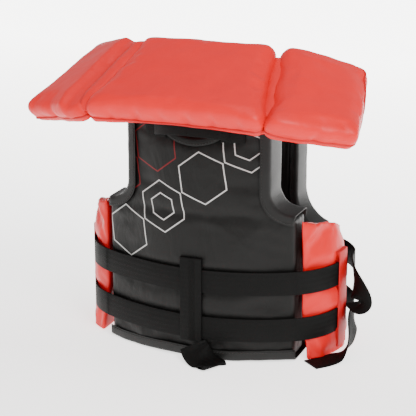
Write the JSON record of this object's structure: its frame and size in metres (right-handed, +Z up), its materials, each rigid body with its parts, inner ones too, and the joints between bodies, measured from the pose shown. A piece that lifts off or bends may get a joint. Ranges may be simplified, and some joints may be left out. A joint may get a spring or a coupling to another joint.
{
  "type": "child's foam life jacket",
  "caption": "Child's closed-foam life jacket with a chambered head-support collar, front zip, two waist belts with side-release buckles and a crotch strap.",
  "frame": {"origin": "middle of the hem's plane, under the middle of the jacket's box without its free straps", "axes": "+Z up, +X towards the wearer's left side, the wearer faces -Y"},
  "size_m": [0.3478, 0.2541, 0.33],
  "materials": {
    "black_nylon": "satin",
    "red_nylon": "satin",
    "webbing": "matte",
    "foam": "matte",
    "black_plastic": "satin"
  },
  "bodies": {
    "jacket": {"back_cover": "black_nylon", "back_foam": "foam", "back_lining": "black_nylon", "back_hem_binding": "black_nylon", "front_right_cover": "black_nylon", "front_right_foam": "foam", "front_right_lining": "black_nylon", "front_right_hem_binding": "black_nylon", "front_left_cover": "black_nylon", "front_left_foam": "foam", "front_left_lining": "black_nylon", "front_left_hem_binding": "black_nylon", "side_right_cover": "red_nylon", "side_right_foam": "foam", "side_left_cover": "red_nylon", "side_left_foam": "foam", "shoulder_right": "black_nylon", "shoulder_left": "black_nylon", "armhole_binding_right": "black_nylon", "armhole_binding_left": "black_nylon", "collar_stand": "black_nylon", "back_keeper": "webbing", "side_keeper_right": "red_nylon", "side_keeper_left": "red_nylon", "front_keepers": "webbing", "upper_belt": "webbing", "lower_belt": "webbing", "upper_buckle_socket": "black_plastic", "lower_buckle_socket": "black_plastic", "zip_tape_right": "black_nylon", "zip_tape_left": "black_nylon", "zip_teeth_right": "black_plastic", "zip_teeth_left": "black_plastic", "zip_bottom_box": "black_plastic", "zip_top_stops": "black_plastic", "grab_handle_patches": "webbing", "front_tab": "webbing", "crotch_strap": "webbing", "crotch_front_tab": "webbing", "crotch_adjuster": "black_plastic"},
    "collar_centre": {"collar_centre_cover": "red_nylon", "collar_centre_foam": "foam", "collar_seam_tapes": "red_nylon"},
    "collar_right": {"collar_right_cover": "red_nylon", "collar_right_foam": "foam"},
    "collar_left": {"collar_left_cover": "red_nylon", "collar_left_foam": "foam"},
    "upper_plug": {"upper_buckle_plug": "black_plastic", "upper_plug_webbing": "webbing", "upper_strap_tail": "webbing"},
    "lower_plug": {"lower_buckle_plug": "black_plastic", "lower_plug_webbing": "webbing", "lower_strap_tail": "webbing"},
    "slider": {"zip_slider": "black_plastic"},
    "pull": {"zip_pull": "black_plastic"},
    "handle": {"grab_handle": "webbing"}
  },
  "joints": [
    {"name": "collar_fold", "type": "hinge", "parent": "jacket", "child": "collar_centre", "pos_m": [0, 0.01377, 0.30183], "axis": [1, 0, 0], "range_deg": [-4, 70]},
    {"name": "collar_left_fold", "type": "hinge", "parent": "collar_centre", "child": "collar_left", "pos_m": [0.073, 0.00966, 0.32141], "axis": [0.1917, 0.8895, -0.4148], "range_deg": [-45, 18]},
    {"name": "collar_right_fold", "type": "hinge", "parent": "collar_centre", "child": "collar_right", "pos_m": [-0.073, 0.00966, 0.32141], "axis": [-0.1917, 0.8895, -0.4148], "range_deg": [-18, 45]},
    {"name": "upper_buckle_release", "type": "slide", "parent": "jacket", "child": "upper_plug", "axis": [-1, 0, 0], "range_m": [0, 0.032]},
    {"name": "lower_buckle_release", "type": "slide", "parent": "jacket", "child": "lower_plug", "axis": [-1, 0, 0], "range_m": [0, 0.032]},
    {"name": "zip_slide", "type": "slide", "parent": "jacket", "child": "slider", "axis": [0, 0, 1], "range_m": [-0.05, 0]},
    {"name": "zip_pull_swing", "type": "hinge", "parent": "slider", "child": "pull", "pos_m": [0, -0.1199, 0.204], "axis": [1, 0, 0], "range_deg": [-150, 0]},
    {"name": "grab_handle_swing", "type": "hinge", "parent": "jacket", "child": "handle", "pos_m": [0, 0.07, 0.246], "axis": [1, 0, 0], "range_deg": [-50, 4]}
  ]
}
